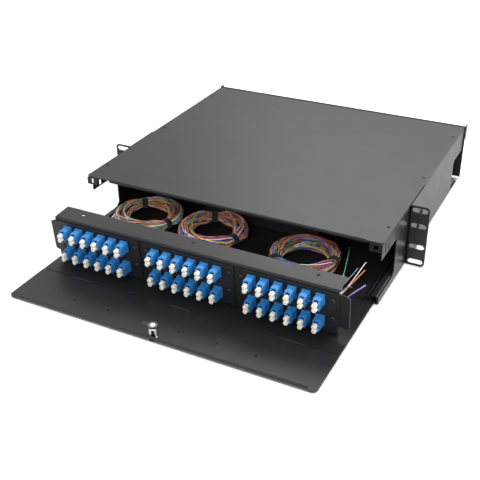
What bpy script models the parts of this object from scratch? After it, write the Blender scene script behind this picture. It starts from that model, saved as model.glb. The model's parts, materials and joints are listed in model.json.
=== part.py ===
"""Rack-mount fibre termination box, 2 rack units high, drawer pulled out and front door folded flat.

Frame: +X right, +Y to the rear, +Z up. The origin is on the underside, at the centre of the width, in the
plane of the rack ears' front faces. Sizes are in millimetres and become metres when a mesh is made.
"""

import math

import bmesh
import bpy
from mathutils import Matrix, Vector

MM = 0.001

# Driving dimensions of the case
WIDTH = 430.0
HEIGHT = 88.0
DEPTH = 396.0
SHEET = 1.5
GAP = 0.3
BEND = 0.8
BEND_STEPS = 4
EAR_SETBACK = 109.0
EAR_SPAN = 482.6

FRONT = -EAR_SETBACK
REAR = FRONT + DEPTH
HALF = WIDTH / 2
INNER = HALF - SHEET
COVER_BOTTOM = HEIGHT - SHEET
SHELL_TOP = COVER_BOTTOM - GAP
TOP_FLANGE = 20.0

# Cable notches in the side walls, at the front and at the rear
FRONT_NOTCH_RIGHT = {"length": 60.0, "low": 10.0, "high": 64.0, "chamfer": 6.0}
FRONT_NOTCH_LEFT = {"length": 67.0, "low": 10.0, "high": 61.0, "chamfer": 6.0}
LEFT_CORNER_RELIEF = {"length": 10.0, "high": 75.5}
CORNER_TAB = {"inner": 198.5, "low": 74.0}
LEFT_TAB_SLOT = {"x": (-208.2, -204.8), "z": (78.0, 85.0)}
REAR_NOTCH = {"length": 50.0, "low": 1.6, "high": 50.5, "slant": 4.0}
FLOOR_RELIEF = {"width": 16.0, "length": 13.0}

# Slots in the side walls near the mouth, as (start, end) behind the front and (low, high) above the base
SIDE_SLOTS = {
    "right_1": ((11.3, 13.7), (68.0, 83.0)),
    "right_2": ((23.3, 25.7), (68.0, 83.0)),
    "left_1": ((8.3, 12.3), (70.0, 83.0)),
    "left_2": ((23.6, 29.0), (62.5, 73.5)),
}

# Rear panel, standing just behind the walls and a little proud of the cover
REAR_PANEL = {"half": 217.0, "low": 2.6, "top": 88.9, "foot_half": 180.0, "foot": 12.0}
REAR_RETURN = {"low": 66.0, "length": 9.0}
REAR_ENTRY = {"x": 120.0, "z": 45.0, "radius": 12.0}
GROMMET = {"inside": 3.8, "outside": 2.7, "rim": 3.0, "rim_rise": 2.5, "bead": 2.0, "bead_rise": 3.3}

# Cover
FOLD_REACH = 4.0
COVER_LIP = {"left": -178.0, "right": 194.0, "drop": 3.8, "corner": 2.5}
COVER_SCREW = {"hole": 2.5, "shank": 1.3, "head": 2.1, "tip": 82.5, "sunk": 0.1, "flange_hole": 1.8}

# Rack ears
EAR_WRAP = 64.0
EAR_SLOT_LEVELS = (6.0, 28.5, 59.5, 82.0)
EAR_SLOT = {"inner": 218.5, "outer": 238.8, "height": 7.0}
EAR_CORNER = 5.0
EAR_CORNER_STEPS = 6
EAR_SCREW = {"hole": 2.5, "shank": 2.0, "head": 3.6, "rise": 1.8}

# Ear screws, as (behind the ear's face, above the base)
EAR_SCREW_PLACES = [(46.0, 34.0), (56.0, 52.0)]

# Drawer
PULL_OUT = 117.0
TRAY_BOTTOM = 1.8
TRAY_SHEET = 1.2
TRAY_TOP = TRAY_BOTTOM + TRAY_SHEET
TRAY_HALF = 210.0
TRAY_REAR = FRONT + 230.0
TRAY_REAR_LIP = 12.0
TRAY_REAR_LIP_HALF = 198.0
HINGE_Y = FRONT - PULL_OUT
HINGE_Z = TRAY_BOTTOM + TRAY_SHEET / 2
HINGE_CLEARANCE = 0.6
TRAY_EDGE = 0.9
DOOR_EDGE = 0.5
KNUCKLE_RADIUS = 1.3
KNUCKLE_BORE = 0.8
PIN_RADIUS = 0.5
SEAM_STRIP = {"low": 0.8, "high": 1.5, "front": 2.4, "rear": 4.0, "web": 2.2}
HINGE_CENTRES = {"left": -150.0, "middle": 0.0, "right": 150.0}
DOOR_KNUCKLE = 14.0
TRAY_KNUCKLE = 8.0
RAIL_INNER = {"right": 203.6, "left": 206.2}
RAIL = {"start": 1.4, "low": 4.2, "high": 10.7, "length": 370.0}
RUNNER_OUTER = 201.5
RUNNER_WIDTH = 14.0

# Door
DOOR_LENGTH = 70.0
DOOR_LIP = 5.0
DOOR_LIP_HALF = 200.0
DOOR_CORNER = 6.0
DOOR_HOLES = {"first": -127.5, "step": 50.6, "count": 6, "radius": 1.5, "from_edge": 27.0}

# Lock, standing on the door's inner face
LOCK_X = 2.0
LOCK_Y = FRONT - 180.0
LOCK_BARREL_RADIUS = 5.3
LOCK_BARREL_TOP = 16.6
LOCK_PLUG_RADIUS = 3.0
LOCK_BEZEL_RADIUS = 6.8
LOCK_FLAT = 4.5
CAM_RADIUS = 6.3
CAM_ARM = 15.0
CAM_ARM_HALF = 2.8
CAM_THICKNESS = 1.8
STRIKE = {"behind_front": 11.5, "low": 76.0, "half": 14.0, "foot": 20.0}

# Patch panel, leaning forward, in its own frame: X from its centre, Y into the panel, Z up from its foot
PANEL_X = -4.6
PANEL_FOOT_Y = FRONT - 83.8
PANEL_LEAN = math.radians(4.0)
PANEL_HALF = 199.8
PANEL_HEIGHT = 65.7
PANEL_FLANGE = 28.0
PANEL_WING_HALF = {"right": 213.0, "left": 208.1}
PANEL_WING = {"low": 13.0, "high": 60.0, "drop": 3.0, "chamfer": 2.5}
PANEL_FOOT = 14.0
PANEL_HOLE_STEP = 167.0
FLANGE_HOLE = 2.2

# Adapter plates and what they carry
PLATE_STEP = 134.2
PLATE_SIZE = (131.0, 59.0)
PLATE_LOW = 2.5
PLATE_BORDER = {"side": 13.0, "end": 4.0}
RIVET_HOLE = 2.3
ADAPTER_PITCH = 17.6
ADAPTERS_PER_ROW = 6
ROW_LEVELS = {"lower": 19.4, "upper": 49.9}
ADAPTER_BODY = (9.3, 12.8)
ADAPTER_FRONT = 16.0
ADAPTER_BACK = 12.0
ADAPTER_FLANGE = (10.6, 14.4, 3.0)
CAP_SIZE = (6.4, 12.0)
CAP_LENGTH = 5.8
RIVET_OFFSET = 58.4

# Fibre coils and splice tray behind the panel
COIL_MAJOR = 39.0
COIL_MINOR = 13.0
COIL_FLATTEN = 0.9
COIL_CENTRES = {"left": (-150.0, 50.0), "middle": (-46.0, 54.0), "right": (98.0, 43.0)}
COIL_LIFTS = {"left": TRAY_SHEET + GAP, "middle": 0.0, "right": 0.0}
SPLICE_SIZE = (180.0, 104.0, 16.0)
SPLICE_WALL = 2.0
SPLICE_FRONT = FRONT + 108.0

MATERIALS = {
    "powder_coat": ((0.035, 0.036, 0.039), 0.45, 0.0),
    "zinc_steel": ((0.62, 0.63, 0.65), 0.3, 1.0),
    "dark_steel": ((0.05, 0.05, 0.055), 0.4, 1.0),
    "chrome": ((0.85, 0.86, 0.88), 0.08, 1.0),
    "blue_plastic": ((0.03, 0.22, 0.62), 0.35, 0.0),
    "cream_plastic": ((0.85, 0.84, 0.78), 0.45, 0.0),
    "black_plastic": ((0.02, 0.02, 0.022), 0.5, 0.0),
    "rubber": ((0.015, 0.015, 0.015), 0.8, 0.0),
    "fibre_jacket": ((0.75, 0.45, 0.12), 0.4, 0.0),
}


def clear_scene():
    for old in list(bpy.data.objects):
        bpy.data.objects.remove(old)


def material(name):
    """The named Principled material, made on its first use."""
    found = bpy.data.materials.get(name)
    if found:
        return found
    colour, roughness, metallic = MATERIALS[name]
    made = bpy.data.materials.new(name)
    made.use_nodes = True
    shader = made.node_tree.nodes["Principled BSDF"]
    shader.inputs["Base Color"].default_value = (*colour, 1.0)
    shader.inputs["Roughness"].default_value = roughness
    shader.inputs["Metallic"].default_value = metallic
    return made


def add_object(name, mesh_maker, slot=None):
    """A mesh object from a bmesh in millimetres, turned into metres."""
    mesh = bpy.data.meshes.new(name)
    mesh_maker.transform(Matrix.Scale(MM, 4))
    bmesh.ops.recalc_face_normals(mesh_maker, faces=mesh_maker.faces)
    mesh_maker.to_mesh(mesh)
    mesh_maker.free()
    made = bpy.data.objects.new(name, mesh)
    bpy.context.scene.collection.objects.link(made)
    if slot:
        mesh.materials.append(material(slot))
    return made


def add_empty(name, at, lean=0.0):
    made = bpy.data.objects.new(name, None)
    bpy.context.scene.collection.objects.link(made)
    made.location = Vector(at) * MM
    made.rotation_euler = (lean, 0.0, 0.0)
    return made


def prism(name, outline, axis, low, high, slot=None):
    """A flat outline swept along an axis. The outline's pairs are the other two axes, in X, Y, Z order."""
    maker = bmesh.new()
    place = {
        "X": lambda a, b, c: (c, a, b),
        "Y": lambda a, b, c: (a, c, b),
        "Z": lambda a, b, c: (a, b, c),
    }[axis]
    rings = [[maker.verts.new(place(a, b, c)) for a, b in outline] for c in (low, high)]
    maker.faces.new(rings[0])
    maker.faces.new(rings[1])
    for i in range(len(outline)):
        j = (i + 1) % len(outline)
        maker.faces.new((rings[0][i], rings[0][j], rings[1][j], rings[1][i]))
    return add_object(name, maker, slot)


def box(name, x, y, z, slot=None):
    """A box from three (low, high) pairs."""
    outline = [(x[0], y[0]), (x[1], y[0]), (x[1], y[1]), (x[0], y[1])]
    return prism(name, outline, "Z", z[0], z[1], slot)


def folded_sheet(path, thickness):
    """The outline of a folded sheet. The path is one face of it, and the sheet lies to the path's left."""
    points = [Vector(p) for p in path]
    ways = [(b - a).normalized() for a, b in zip(points, points[1:])]
    lefts = [Vector((-way.y, way.x)) for way in ways]
    near, far = [points[0]], [points[0] + lefts[0] * thickness]
    for corner, before, after in zip(points[1:], lefts, lefts[1:]):
        turn = 1 if before.cross(after) > 0 else -1
        near_radius = BEND + thickness if turn > 0 else BEND
        far_radius = near_radius - turn * thickness
        centre = corner + (before + after) / (1 + before.dot(after)) * turn * near_radius
        angle = before.angle(after)
        for step in range(BEND_STEPS + 1):
            part = turn * angle * step / BEND_STEPS
            spoke = Matrix.Rotation(part, 2) @ before * -turn
            near.append(centre + spoke * near_radius)
            far.append(centre + spoke * far_radius)
    near.append(points[-1])
    far.append(points[-1] + lefts[-1] * thickness)
    return [tuple(p) for p in near + far[::-1]]


def mirrored(outline, side):
    return [(side * a, b) for a, b in outline]


def circle(centre, radius, segments=24):
    steps = [2 * math.pi * i / segments for i in range(segments)]
    return [(centre[0] + radius * math.cos(a), centre[1] + radius * math.sin(a)) for a in steps]


def rod(name, axis, centre, radius, low, high, slot=None, segments=24):
    """A cylinder along an axis, smooth round its side."""
    made = prism(name, circle(centre, radius, segments), axis, low, high, slot)
    made.data.shade_smooth()
    made.data.set_sharp_from_angle(angle=math.radians(40))
    return made


def rounded_rectangle(x, y, radius, segments=6):
    """A rectangle outline with every corner rounded."""
    centres = [
        (x[1] - radius, y[1] - radius, 0),
        (x[0] + radius, y[1] - radius, 1),
        (x[0] + radius, y[0] + radius, 2),
        (x[1] - radius, y[0] + radius, 3),
    ]
    points = []
    for cx, cy, quarter in centres:
        for i in range(segments + 1):
            angle = math.pi / 2 * (quarter + i / segments)
            points.append((cx + radius * math.cos(angle), cy + radius * math.sin(angle)))
    return points


def combine(target, other, operation):
    """An exact Boolean between two objects. The second stays out of the model and moves with the first."""
    other.parent = target
    other.hide_render = True
    other.display_type = "WIRE"
    other.hide_set(True)
    step = target.modifiers.new(other.name, "BOOLEAN")
    step.operation = operation
    step.solver = "EXACT"
    step.object = other


def cut(target, *cutters):
    for cutter in cutters:
        combine(target, cutter, "DIFFERENCE")


def add(target, *pieces):
    for piece in pieces:
        combine(target, piece, "UNION")


def hold(parent, *pieces):
    """Parents pieces that were made in the parent's own frame."""
    for piece in pieces:
        piece.parent = parent


def ride(parent, *pieces):
    """Parents pieces that were made in the world's frame, without moving them."""
    for piece in pieces:
        piece.parent = parent
        piece.matrix_parent_inverse = Matrix.Translation(-parent.location)


# Case


def base_shell():
    """Bottom and both sides from one folded sheet, with flanges turned in under the cover."""
    flange_end = HALF - TOP_FLANGE
    right_half = [(HALF, 0.0), (HALF, SHELL_TOP), (flange_end, SHELL_TOP)]
    path = mirrored(right_half, -1)[::-1] + right_half
    shell = prism("base_shell", folded_sheet(path, SHEET), "Y", FRONT, REAR, "powder_coat")
    add(shell, right_corner_tab(), left_corner_tab())
    cut(shell, front_notch(1, "right", FRONT_NOTCH_RIGHT), front_notch(-1, "left", FRONT_NOTCH_LEFT))
    cut(shell, left_corner_relief(), rear_notch(), *floor_reliefs(), *side_slots(), mouth_recess())
    for i, at in enumerate(cover_screw_places()):
        radius = COVER_SCREW["flange_hole"]
        cut(shell, rod(f"flange_hole_{i}", "Z", at, radius, SHELL_TOP - 4, SHELL_TOP + 1, None, 8))
    for i, at in enumerate(EAR_SCREW_PLACES):
        cut(shell, rod(f"wall_hole_{i}", "X", at, EAR_SCREW["hole"], -HALF - 1, HALF + 1, None, 10))
    return shell


def front_notch(side, name, notch):
    """The open cable notch at the front of one side wall."""
    back = FRONT + notch["length"]
    outline = [
        (FRONT - 1, notch["low"]),
        (back - notch["chamfer"], notch["low"]),
        (back, notch["low"] + notch["chamfer"]),
        (back, notch["high"]),
        (FRONT - 1, notch["high"]),
    ]
    x = sorted((side * (INNER - 1), side * (HALF + 1)))
    return prism(f"front_notch_{name}", outline, "X", x[0], x[1])


def left_corner_relief():
    """The left wall steps back below its corner tab."""
    relief = LEFT_CORNER_RELIEF
    y = (FRONT - 1, FRONT + relief["length"])
    return box("left_relief", (-HALF - 1, -INNER + 1), y, (FRONT_NOTCH_LEFT["low"] + 1, relief["high"]))


def mouth_recess():
    """The floor's front edge stands back, which leaves room for the drawer's hinges and seam strip."""
    y = (FRONT - 1, FRONT + SEAM_STRIP["rear"] + HINGE_CLEARANCE)
    half = TRAY_HALF + HINGE_CLEARANCE
    return box("mouth_recess", (-half, half), y, (-1, SHEET + 1))


def rear_notch():
    notch = REAR_NOTCH
    start = REAR - notch["length"]
    outline = [
        (start, notch["low"]),
        (REAR + 1, notch["low"]),
        (REAR + 1, notch["high"]),
        (start + notch["slant"], notch["high"]),
        (start, notch["high"] - notch["slant"]),
    ]
    return prism("rear_notch", outline, "X", -HALF - 1, HALF + 1)


def side_slots():
    made = []
    for name, (steps, z) in SIDE_SLOTS.items():
        side = 1 if name.startswith("right") else -1
        x = sorted((side * (INNER - 1), side * (HALF + 1)))
        y = (FRONT + steps[0], FRONT + steps[1])
        made.append(box(f"side_slot_{name}", x, y, z))
    return made


def floor_reliefs():
    """The cut-away rear corners of the floor."""
    made = []
    for side in (1, -1):
        x = sorted((side * (HALF - FLOOR_RELIEF["width"]), side * (HALF + 1)))
        y = (REAR - FLOOR_RELIEF["length"], REAR + 1)
        made.append(box(f"floor_relief_{side}", x, y, (-1, SHEET + 1)))
    return made


def right_corner_tab():
    """A tab turned in from the right wall at the mouth, with one round hole."""
    x = (CORNER_TAB["inner"], INNER + 0.5)
    tab = box("right_tab", x, (FRONT, FRONT + SHEET), (CORNER_TAB["low"], SHELL_TOP - 0.5))
    cut(tab, rod("right_tab_hole", "Y", (206.3, 80.0), 3.3, FRONT - 1, FRONT + 3, None, 20))
    return tab


def left_corner_tab():
    """A tab turned in from the left wall at the mouth, with one upright slot."""
    x = (-INNER - 0.5, -CORNER_TAB["inner"])
    tab = box("left_tab", x, (FRONT, FRONT + SHEET), (LEFT_CORNER_RELIEF["high"], SHELL_TOP - 0.5))
    cut(tab, box("left_tab_slot", LEFT_TAB_SLOT["x"], (FRONT - 1, FRONT + 3), LEFT_TAB_SLOT["z"]))
    return tab


def cover_screw_places():
    return [(side * 208.0, FRONT + step) for side in (1, -1) for step in (41.0, 194.0, 350.0)]


def top_cover():
    """A flat lid with a shallow lip turned down along its front edge, between the corner tabs."""
    lip = COVER_LIP
    fold = FRONT + FOLD_REACH
    outline = [
        (-HALF, FRONT + lip["corner"]),
        (-HALF + lip["corner"], FRONT),
        (lip["left"], FRONT),
        (lip["left"], fold),
        (lip["right"], fold),
        (lip["right"], FRONT),
        (HALF - lip["corner"], FRONT),
        (HALF, FRONT + lip["corner"]),
        (HALF, REAR),
        (-HALF, REAR),
    ]
    cover = prism("top_cover", outline, "Z", COVER_BOTTOM, HEIGHT, "powder_coat")
    path = [(fold + 1, HEIGHT), (FRONT, HEIGHT), (FRONT, HEIGHT - lip["drop"])]
    add(cover, prism("cover_lip", folded_sheet(path, SHEET), "X", lip["left"], lip["right"]))
    for i, at in enumerate(cover_screw_places()):
        radius = COVER_SCREW["hole"]
        cut(cover, rod(f"cover_hole_{i}", "Z", at, radius, COVER_BOTTOM - 1, HEIGHT + 1, None, 12))
    return cover


def cover_screws():
    """Flat-headed screws set flush in the cover."""
    names = ["right_front", "right_middle", "right_rear", "left_front", "left_middle", "left_rear"]
    made = []
    for name, at in zip(names, cover_screw_places()):
        low, high = COVER_BOTTOM + COVER_SCREW["sunk"], HEIGHT - COVER_SCREW["sunk"]
        shank, tip = COVER_SCREW["shank"], COVER_SCREW["tip"]
        screw = rod(f"cover_screw_{name}", "Z", at, shank, tip, COVER_BOTTOM + 0.5, "dark_steel", 8)
        add(screw, rod(f"screw_head_{name}", "Z", at, COVER_SCREW["head"], low, high, None, 12))
        made.append(screw)
    return made


def rear_panel():
    """The full-width rear wall with its foot, a return at each top corner and two cable entries."""
    panel_size = REAR_PANEL
    near, far = REAR + GAP, REAR + GAP + SHEET
    wall_x = (-panel_size["half"], panel_size["half"])
    panel = box("rear_panel", wall_x, (near, far), (panel_size["low"], panel_size["top"]), "powder_coat")
    foot_x = (-panel_size["foot_half"], panel_size["foot_half"])
    low = SHEET + GAP
    add(panel, box("rear_foot", foot_x, (REAR - panel_size["foot"], far), (low, low + SHEET)))
    for side in (1, -1):
        x = sorted((side * (panel_size["half"] - SHEET), side * panel_size["half"]))
        y = (near, far + REAR_RETURN["length"])
        add(panel, box(f"rear_return_{side}", x, y, (REAR_RETURN["low"], panel_size["top"])))
    for name, at in rear_entry_places().items():
        cut(panel, rod(f"entry_{name}", "Y", at, REAR_ENTRY["radius"], near - 1, far + 1, None, 20))
    return panel


def rear_entry_places():
    return {name: (side * REAR_ENTRY["x"], REAR_ENTRY["z"]) for name, side in (("left", -1), ("right", 1))}


def rear_grommets():
    """Closed rubber membranes pressed into the rear cable entries."""
    near, far = REAR + GAP, REAR + GAP + SHEET
    radius = REAR_ENTRY["radius"]
    made = []
    for name, at in rear_entry_places().items():
        inside, outside = near - GROMMET["inside"], far + GROMMET["outside"]
        rim, bead = radius + GROMMET["rim"], radius + GROMMET["bead"]
        plug = rod(f"rear_grommet_{name}", "Y", at, radius - GAP, inside, outside, "rubber", 20)
        add(plug, rod(f"grommet_rim_{name}", "Y", at, rim, far + GAP, far + GROMMET["rim_rise"], None, 20))
        bead_start = near - GROMMET["bead_rise"]
        add(plug, rod(f"grommet_bead_{name}", "Y", at, bead, bead_start, near - GAP, None, 20))
        made.append(plug)
    return made


def rack_ear(side, name):
    """An angle bracket: one leg on the side wall, the other facing the rack post with four open slots."""
    inner = HALF + GAP
    outer = EAR_SPAN / 2
    path = [(outer, 0.0), (inner, 0.0), (inner, EAR_WRAP)]
    folded = mirrored(folded_sheet(path[::-1], SHEET), side)
    ear = prism(f"rack_ear_{name}", folded, "Z", 0.0, HEIGHT, "powder_coat")
    outline = ear_outline(side, inner - 1, outer)
    combine(ear, prism(f"ear_round_{name}", outline, "Y", -1.0, EAR_WRAP + 1), "INTERSECT")
    for i, level in enumerate(EAR_SLOT_LEVELS):
        x = sorted((side * EAR_SLOT["inner"], side * EAR_SLOT["outer"]))
        z = (level - EAR_SLOT["height"] / 2, level + EAR_SLOT["height"] / 2)
        slot = rounded_rectangle(x, z, EAR_SLOT["height"] / 2 - 0.01, 4)
        cut(ear, prism(f"ear_slot_{name}_{i}", slot, "Y", -1.0, SHEET + 1.0))
    for i, at in enumerate(EAR_SCREW_PLACES):
        x = sorted((side * (inner - 1), side * (inner + SHEET + 1)))
        cut(ear, rod(f"ear_hole_{name}_{i}", "X", at, EAR_SCREW["hole"], x[0], x[1], None, 10))
    return ear


def ear_outline(side, inner, outer):
    """The ear's face: square against the case, rounded at its two outer corners."""
    corners = [(side * inner, 0.0)]
    for centre_z, start in ((EAR_CORNER, -90.0), (HEIGHT - EAR_CORNER, 0.0)):
        for step in range(EAR_CORNER_STEPS + 1):
            angle = math.radians(start + 90.0 * step / EAR_CORNER_STEPS)
            x = outer - EAR_CORNER + EAR_CORNER * math.cos(angle)
            corners.append((side * x, centre_z + EAR_CORNER * math.sin(angle)))
    return [*corners, (side * inner, HEIGHT)]


def ear_screws(side, name):
    """Two pan-headed screws that hold an ear to the side wall."""
    made = []
    head = side * (HALF + GAP + SHEET + GAP)
    for i, at in enumerate(EAR_SCREW_PLACES):
        x = sorted((side * (INNER + 0.1), head + side * 0.8))
        screw = rod(f"ear_screw_{name}_{i + 1}", "X", at, EAR_SCREW["shank"], x[0], x[1], "dark_steel", 8)
        x = sorted((head, head + side * EAR_SCREW["rise"]))
        add(screw, rod(f"ear_screw_head_{name}_{i}", "X", at, EAR_SCREW["head"], x[0], x[1], None, 16))
        made.append(screw)
    return made


def guide_rail(side, name):
    """A folded runner on the side wall that keeps the drawer's edge down."""
    outer = INNER - GAP
    inner = RAIL_INNER[name]
    rail = RAIL
    path = [(outer, rail["low"]), (outer, rail["high"]), (inner, rail["high"]), (inner, rail["low"])]
    section = mirrored(folded_sheet(path, TRAY_SHEET), side)
    y = (FRONT + rail["start"], FRONT + rail["length"])
    return prism(f"guide_rail_{name}", section, "Y", y[0], y[1], "powder_coat")


def lock_strike():
    """An angle under the cover that the lock's cam turns up behind."""
    strike = STRIKE
    start = FRONT + strike["behind_front"]
    top = COVER_BOTTOM - GAP
    path = [(start + strike["foot"], top), (start, top), (start, strike["low"])]
    x = (LOCK_X - strike["half"], LOCK_X + strike["half"])
    return prism("lock_strike", folded_sheet(path, TRAY_SHEET), "X", x[0], x[1], "zinc_steel")


# Drawer


def knuckle(name, centre_x, length):
    low, high = centre_x - length / 2, centre_x + length / 2
    return rod(name, "X", (HINGE_Y, HINGE_Z), KNUCKLE_RADIUS, low, high, None, 10)


def hinge_bore(name, centre_x):
    """The bore through one whole hinge."""
    reach = DOOR_KNUCKLE / 2 + TRAY_KNUCKLE + 2
    low, high = centre_x - reach, centre_x + reach
    return rod(name, "X", (HINGE_Y, HINGE_Z), KNUCKLE_BORE, low, high, None, 10)


def hinge_pocket(name, centre_x):
    """The notch that one hinge needs in the plates on both sides of its axis."""
    reach = DOOR_KNUCKLE / 2 + TRAY_KNUCKLE + 2 * GAP
    depth = KNUCKLE_RADIUS + HINGE_CLEARANCE
    x = (centre_x - reach, centre_x + reach)
    return box(name, x, (HINGE_Y - depth, HINGE_Y + depth), (TRAY_BOTTOM - 1, TRAY_TOP + 1))


def tray_floor():
    """The drawer's floor, with a lip across its rear and knuckles along its front edge."""
    front = HINGE_Y + TRAY_EDGE
    leaf_end = HINGE_Y + KNUCKLE_RADIUS + HINGE_CLEARANCE + 1.0
    z = (TRAY_BOTTOM, TRAY_TOP)
    rear = TRAY_REAR - FOLD_REACH
    floor = box("tray_floor", (-TRAY_HALF, TRAY_HALF), (front, rear), z, "powder_coat")
    path = [(rear - 1, TRAY_BOTTOM), (TRAY_REAR, TRAY_BOTTOM), (TRAY_REAR, TRAY_TOP + TRAY_REAR_LIP)]
    lip = folded_sheet(path, TRAY_SHEET)
    add(floor, prism("tray_lip", lip, "X", -TRAY_REAR_LIP_HALF, TRAY_REAR_LIP_HALF))
    for i, x in enumerate(seam_spans()):
        add(floor, seam_strip(f"seam_strip_{i}", x))
    for name, x in HINGE_CENTRES.items():
        cut(floor, hinge_pocket(f"tray_pocket_{name}", x))
        for side in (1, -1):
            centre = x + side * (DOOR_KNUCKLE + TRAY_KNUCKLE + GAP) / 2
            reach = (centre - (TRAY_KNUCKLE - GAP) / 2, centre + (TRAY_KNUCKLE - GAP) / 2)
            leaf = box(f"tray_leaf_{name}_{side}", reach, (HINGE_Y, leaf_end), z)
            add(floor, leaf, knuckle(f"tray_knuckle_{name}_{side}", centre, TRAY_KNUCKLE - GAP))
        cut(floor, hinge_bore(f"tray_bore_{name}", x))
    return floor


def seam_spans():
    """The stretches of the tray's front edge between the hinges."""
    reach = DOOR_KNUCKLE / 2 + TRAY_KNUCKLE + 1.0
    edges = [-TRAY_HALF + 2.0]
    for x in HINGE_CENTRES.values():
        edges += [x - reach, x + reach]
    edges.append(TRAY_HALF - 2.0)
    return list(zip(edges[::2], edges[1::2]))


def seam_strip(name, x):
    """A joggled strip under the seam between tray and door, so that no light comes through it."""
    strip = SEAM_STRIP
    y = (HINGE_Y - strip["front"], HINGE_Y + strip["rear"])
    low = box(name, x, y, (strip["low"], strip["high"]))
    add(low, box(f"{name}_web", x, (HINGE_Y + strip["web"], y[1]), (strip["low"], TRAY_BOTTOM + 0.4)))
    return low


def hinge_pins():
    made = []
    for name, x in HINGE_CENTRES.items():
        reach = DOOR_KNUCKLE / 2 + TRAY_KNUCKLE
        at = (HINGE_Y, HINGE_Z)
        made.append(rod(f"hinge_pin_{name}", "X", at, PIN_RADIUS, x - reach, x + reach, "zinc_steel", 8))
    return made


def runner(side, name):
    """An angle along the drawer's edge, just inside the guide rail."""
    low, high = TRAY_TOP + GAP, 10.0
    outer = RUNNER_OUTER
    path = [(outer - RUNNER_WIDTH, low), (outer, low), (outer, high)]
    section = mirrored(folded_sheet(path, TRAY_SHEET), side)
    return prism(f"runner_{name}", section, "Y", FRONT + 0.5, TRAY_REAR - 4.0, "powder_coat")


def patch_panel(frame):
    """The leaning frame: face, top flange, foot and low wings, with a window behind each adapter plate."""
    back = Vector((math.cos(PANEL_LEAN), -math.sin(PANEL_LEAN)))
    heel = Vector((0.0, 0.4))
    foot_tip = heel + back * PANEL_FOOT
    path = [(PANEL_FLANGE, PANEL_HEIGHT), (0.0, PANEL_HEIGHT), heel, foot_tip]
    section = folded_sheet(path, SHEET)
    panel = prism("patch_panel", section, "X", -PANEL_HALF, PANEL_HALF, "powder_coat")
    for side, name in ((1, "right"), (-1, "left")):
        add(panel, panel_wing(side, name))
    for name, x in plate_centres():
        window = PLATE_SIZE[0] / 2 - PLATE_BORDER["side"]
        low, high = PLATE_LOW + PLATE_BORDER["end"], PLATE_LOW + PLATE_SIZE[1] - PLATE_BORDER["end"]
        cut(panel, box(f"window_{name}", (x - window, x + window), (-2.0, 4.0), (low, high)))
        for rivet, rivet_x in rivet_places(name, x):
            at = (rivet_x, ROW_LEVELS["upper"])
            cut(panel, rod(f"panel_hole_{rivet}", "Y", at, RIVET_HOLE, -2.0, 4.0, None, 12))
    for step in (-1, 0, 1):
        at = (step * PANEL_HOLE_STEP, 18.0)
        z = (PANEL_HEIGHT - 3, PANEL_HEIGHT + 2)
        cut(panel, rod(f"flange_hole_{step}_top", "Z", at, FLANGE_HOLE, z[0], z[1], None, 16))
    hold(frame, panel)
    return panel


def panel_wing(side, name):
    """A low ear of the face that stands out past the panel's end, above the guide rail."""
    wing = PANEL_WING
    tip = PANEL_WING_HALF[name]
    outline = [
        (side * (PANEL_HALF - 1.0), wing["low"]),
        (side * (tip - wing["chamfer"]), wing["low"]),
        (side * tip, wing["low"] + wing["chamfer"]),
        (side * tip, wing["high"] - wing["drop"]),
        (side * (tip - 2 * wing["drop"]), wing["high"]),
        (side * (PANEL_HALF - 1.0), wing["high"]),
    ]
    return prism(f"wing_{name}", outline, "Y", 0.0, SHEET)


def plate_centres():
    return [("left", -PLATE_STEP), ("middle", 0.0), ("right", PLATE_STEP)]


def rivet_places(name, centre):
    return [(f"{name}_{end}", centre + side * RIVET_OFFSET) for end, side in (("a", -1), ("b", 1))]


def adapter_places(centre):
    first = centre - ADAPTER_PITCH * (ADAPTERS_PER_ROW - 1) / 2
    return [first + ADAPTER_PITCH * i for i in range(ADAPTERS_PER_ROW)]


def adapter_plate(name, centre):
    """A plate on the front of the panel, cut for two rows of adapters."""
    width, height = PLATE_SIZE
    x = (centre - width / 2, centre + width / 2)
    z = (PLATE_LOW, PLATE_LOW + height)
    plate = box(f"adapter_plate_{name}", x, (-SHEET - GAP, -GAP), z, "powder_coat")
    for row, level in ROW_LEVELS.items():
        for i, at in enumerate(adapter_places(centre)):
            hole_x = (at - ADAPTER_BODY[0] / 2 - GAP, at + ADAPTER_BODY[0] / 2 + GAP)
            hole_z = (level - ADAPTER_BODY[1] / 2 - GAP, level + ADAPTER_BODY[1] / 2 + GAP)
            cut(plate, box(f"hole_{name}_{row}_{i}", hole_x, (-4.0, 2.0), hole_z))
    for rivet, rivet_x in rivet_places(name, centre):
        at = (rivet_x, ROW_LEVELS["upper"])
        cut(plate, rod(f"plate_hole_{rivet}", "Y", at, RIVET_HOLE, -4.0, 2.0, None, 12))
    return plate


def adapter_row(name, centre, row, level):
    """Six duplex adapters, joined behind the plate by the strip their clips share."""
    half = ADAPTER_BODY[0] / 2
    z = (level - ADAPTER_BODY[1] / 2, level + ADAPTER_BODY[1] / 2)
    face = -SHEET - GAP
    places = adapter_places(centre)
    strip = (places[0] - half, places[-1] + half)
    group = box(f"adapters_{name}_{row}", strip, (3.0, 4.2), (level - 3.0, level + 3.0), "blue_plastic")
    for i, at in enumerate(places):
        body = box(f"body_{name}_{row}_{i}", (at - half, at + half), (face - ADAPTER_FRONT, ADAPTER_BACK), z)
        flange_x = (at - ADAPTER_FLANGE[0] / 2, at + ADAPTER_FLANGE[0] / 2)
        flange_z = (level - ADAPTER_FLANGE[1] / 2, level + ADAPTER_FLANGE[1] / 2)
        flange_y = (face - GAP - ADAPTER_FLANGE[2], face - GAP)
        flange = box(f"flange_{name}_{row}_{i}", flange_x, flange_y, flange_z)
        add(group, body, flange)
    return group


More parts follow.
